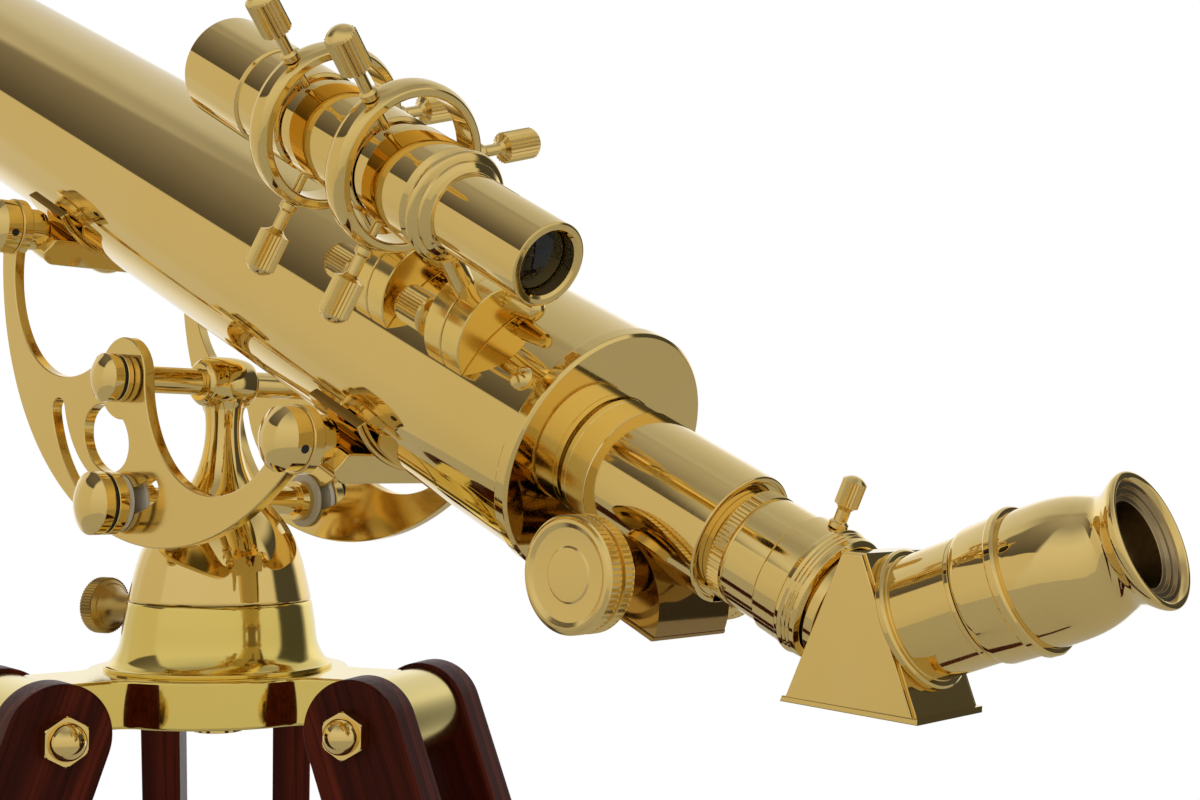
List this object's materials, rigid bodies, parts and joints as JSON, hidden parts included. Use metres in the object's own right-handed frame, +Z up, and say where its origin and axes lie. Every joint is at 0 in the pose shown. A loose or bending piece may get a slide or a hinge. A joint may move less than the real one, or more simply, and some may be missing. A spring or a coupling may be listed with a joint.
{
  "type": "telescope on tripod",
  "caption": "Brass refracting telescope with finder, diagonal and eyepiece on a crescent altitude mount, standing on a folding wooden tripod.",
  "frame": {"origin": "on the floor, straight under the azimuth axis", "axes": "+Z up along the azimuth axis; +X horizontal, from the objective end towards the eyepiece end; +Y to the side away from the finder"},
  "size_m": [0.8747, 0.7501, 1.4566],
  "materials": {
    "brass_polished": "polished",
    "brass_satin": "satin",
    "mahogany": "gloss lacquer",
    "rubber": "matte",
    "nylon": "matte",
    "glass": "clear"
  },
  "bodies": {
    "base": {"tripod_hub": "brass_satin", "azimuth_base": "brass_satin", "leg_bolts": "brass_polished"},
    "azimuth_lock": {"azimuth_lock_screw": "brass_polished"},
    "leg_a": {"leg_a_slats": "mahogany"},
    "leg_a_lower": {"leg_a_slider": "mahogany", "leg_a_foot": "rubber"},
    "leg_a_clamp": {"leg_a_knob": "brass_polished"},
    "leg_b": {"leg_b_slats": "mahogany"},
    "leg_b_lower": {"leg_b_slider": "mahogany", "leg_b_foot": "rubber"},
    "leg_b_clamp": {"leg_b_knob": "brass_polished"},
    "leg_c": {"leg_c_slats": "mahogany"},
    "leg_c_lower": {"leg_c_slider": "mahogany", "leg_c_foot": "rubber"},
    "leg_c_clamp": {"leg_c_knob": "brass_polished"},
    "column": {"column": "brass_satin", "altitude_shaft": "brass_satin", "pivot_caps": "brass_polished", "clamp_rod": "brass_satin", "clamp_washers": "nylon"},
    "clamp_near": {"clamp_knob_near": "brass_polished"},
    "clamp_far": {"clamp_knob_far": "brass_polished"},
    "telescope": {"crescent_near": "brass_satin", "crescent_far": "brass_satin", "saddle_front": "brass_satin", "saddle_rear": "brass_satin", "horn_caps": "brass_polished", "main_tube": "brass_polished", "rear_ring": "brass_polished", "rear_screws": "brass_polished", "objective_cell": "brass_polished", "objective_doublet": "glass", "dew_shield": "brass_polished", "finder_feet": "brass_satin", "finder_foot_pins": "brass_polished", "finder_rings": "brass_polished", "finder_tube": "brass_polished", "finder_lenses": "glass", "focuser_collar": "brass_satin", "focuser_sleeve": "brass_polished", "pinion_housing": "brass_polished"},
    "finder_screw_front_1": {"finder_screw_front_1": "brass_polished"},
    "finder_screw_front_2": {"finder_screw_front_2": "brass_polished"},
    "finder_screw_front_3": {"finder_screw_front_3": "brass_polished"},
    "finder_clamp_front": {"finder_clamp_front": "brass_polished"},
    "finder_screw_rear_1": {"finder_screw_rear_1": "brass_polished"},
    "finder_screw_rear_2": {"finder_screw_rear_2": "brass_polished"},
    "finder_screw_rear_3": {"finder_screw_rear_3": "brass_polished"},
    "finder_clamp_rear": {"finder_clamp_rear": "brass_polished"},
    "focus_shaft": {"pinion": "brass_polished", "focus_knobs": "brass_polished"},
    "drawtube": {"drawtube": "brass_polished", "drawtube_adapter": "brass_polished"},
    "adapter_screw": {"adapter_screw": "brass_polished"},
    "diagonal": {"diagonal_box": "brass_polished", "diagonal_prism": "glass", "eyepiece_holder": "brass_polished"},
    "eyepiece": {"eyepiece_body": "brass_polished", "eyepiece_lenses": "glass"}
  },
  "joints": [
    {"name": "azimuth_lock", "type": "hinge", "parent": "base", "child": "azimuth_lock", "pos_m": [-0.07083, -0.01766, 1.042], "axis": [0.9703, 0.2419, 0], "continuous": true},
    {"name": "leg_a_fold", "type": "hinge", "parent": "base", "child": "leg_a", "pos_m": [0.08067, 0.03259, 1], "axis": [-0.3746, 0.9272, 0], "range_deg": [0, 20]},
    {"name": "leg_a_length", "type": "slide", "parent": "leg_a", "child": "leg_a_lower", "axis": [0.3171, 0.1281, -0.9397], "range_m": [-0.2, 0.12]},
    {"name": "leg_a_clamp", "type": "hinge", "parent": "leg_a", "child": "leg_a_clamp", "pos_m": [0.24108, 0.1578, 0.4625], "axis": [0.3746, -0.9272, 0], "continuous": true},
    {"name": "leg_b_fold", "type": "hinge", "parent": "base", "child": "leg_b", "pos_m": [-0.06856, 0.05356, 1], "axis": [-0.6157, -0.788, 0], "range_deg": [0, 20]},
    {"name": "leg_b_length", "type": "slide", "parent": "leg_b", "child": "leg_b_lower", "axis": [-0.2695, 0.2106, -0.9397], "range_m": [-0.2, 0.12]},
    {"name": "leg_b_clamp", "type": "hinge", "parent": "leg_b", "child": "leg_b_clamp", "pos_m": [-0.2572, 0.12988, 0.4625], "axis": [0.6157, 0.788, 0], "continuous": true},
    {"name": "leg_c_fold", "type": "hinge", "parent": "base", "child": "leg_c", "pos_m": [-0.01211, -0.08615, 1], "axis": [0.9903, -0.1392, 0], "range_deg": [0, 20]},
    {"name": "leg_c_length", "type": "slide", "parent": "leg_c", "child": "leg_c_lower", "axis": [-0.0476, -0.3387, -0.9397], "range_m": [-0.2, 0.12]},
    {"name": "leg_c_clamp", "type": "hinge", "parent": "leg_c", "child": "leg_c_clamp", "pos_m": [0.01612, -0.28768, 0.4625], "axis": [-0.9903, 0.1392, 0], "continuous": true},
    {"name": "azimuth", "type": "hinge", "parent": "base", "child": "column", "pos_m": [0, 0, 1.0474], "axis": [0, 0, 1], "continuous": true},
    {"name": "altitude_clamp_near", "type": "hinge", "parent": "column", "child": "clamp_near", "pos_m": [0, -0.06, 1.0907], "axis": [0, 1, 0], "continuous": true},
    {"name": "altitude_clamp_far", "type": "hinge", "parent": "column", "child": "clamp_far", "pos_m": [0, 0.06, 1.0907], "axis": [0, -1, 0], "continuous": true},
    {"name": "altitude", "type": "hinge", "parent": "column", "child": "telescope", "pos_m": [0, 0, 1.143], "axis": [0, 1, 0], "range_deg": [-76, 26.5]},
    {"name": "finder_screw_front_1", "type": "hinge", "parent": "telescope", "child": "finder_screw_front_1", "pos_m": [0.18576, -0.04344, 1.23223], "axis": [-0.1275, -0.9527, -0.276], "continuous": true},
    {"name": "finder_screw_front_2", "type": "hinge", "parent": "telescope", "child": "finder_screw_front_2", "pos_m": [0.16158, -0.0959, 1.1799], "axis": [0.4098, 0.213, 0.8869], "continuous": true},
    {"name": "finder_screw_front_3", "type": "hinge", "parent": "telescope", "child": "finder_screw_front_3", "pos_m": [0.19273, -0.1196, 1.24731], "axis": [-0.2823, 0.7396, -0.6109], "continuous": true},
    {"name": "finder_clamp_front", "type": "hinge", "parent": "telescope", "child": "finder_clamp_front", "pos_m": [0.14174, -0.0449, 1.17988], "axis": [0.9078, 0, -0.4195], "continuous": true},
    {"name": "finder_screw_rear_1", "type": "hinge", "parent": "telescope", "child": "finder_screw_rear_1", "pos_m": [0.22516, -0.04344, 1.21403], "axis": [-0.1275, -0.9527, -0.276], "continuous": true},
    {"name": "finder_screw_rear_2", "type": "hinge", "parent": "telescope", "child": "finder_screw_rear_2", "pos_m": [0.20098, -0.0959, 1.1617], "axis": [0.4098, 0.213, 0.8869], "continuous": true},
    {"name": "finder_screw_rear_3", "type": "hinge", "parent": "telescope", "child": "finder_screw_rear_3", "pos_m": [0.23212, -0.1196, 1.2291], "axis": [-0.2823, 0.7396, -0.6109], "continuous": true},
    {"name": "finder_clamp_rear", "type": "hinge", "parent": "telescope", "child": "finder_clamp_rear", "pos_m": [0.18114, -0.0449, 1.16168], "axis": [0.9078, 0, -0.4195], "continuous": true},
    {"name": "focus_knob", "type": "hinge", "parent": "telescope", "child": "focus_shaft", "pos_m": [0.24849, 0, 1.07236], "axis": [0, 1, 0], "range_deg": [-22, 700]},
    {"name": "drawtube_travel", "type": "slide", "parent": "telescope", "child": "drawtube", "axis": [0.9078, 0, -0.4195], "range_m": [-0.0015, 0.06]},
    {"name": "adapter_screw", "type": "hinge", "parent": "drawtube", "child": "adapter_screw", "pos_m": [0.33121, 0, 1.10309], "axis": [-0.4195, 0, -0.9078], "continuous": true},
    {"name": "diagonal_turn", "type": "hinge", "parent": "drawtube", "child": "diagonal", "pos_m": [0.32564, 0, 1.06601], "axis": [0.9078, 0, -0.4195], "continuous": true},
    {"name": "eyepiece_slide", "type": "slide", "parent": "diagonal", "child": "eyepiece", "axis": [0.9385, 0, 0.3453], "range_m": [0, 0.02]}
  ],
  "couplings": [
    {"joint": "focus_knob", "follows": "drawtube_travel", "rad_per_m": 200}
  ]
}
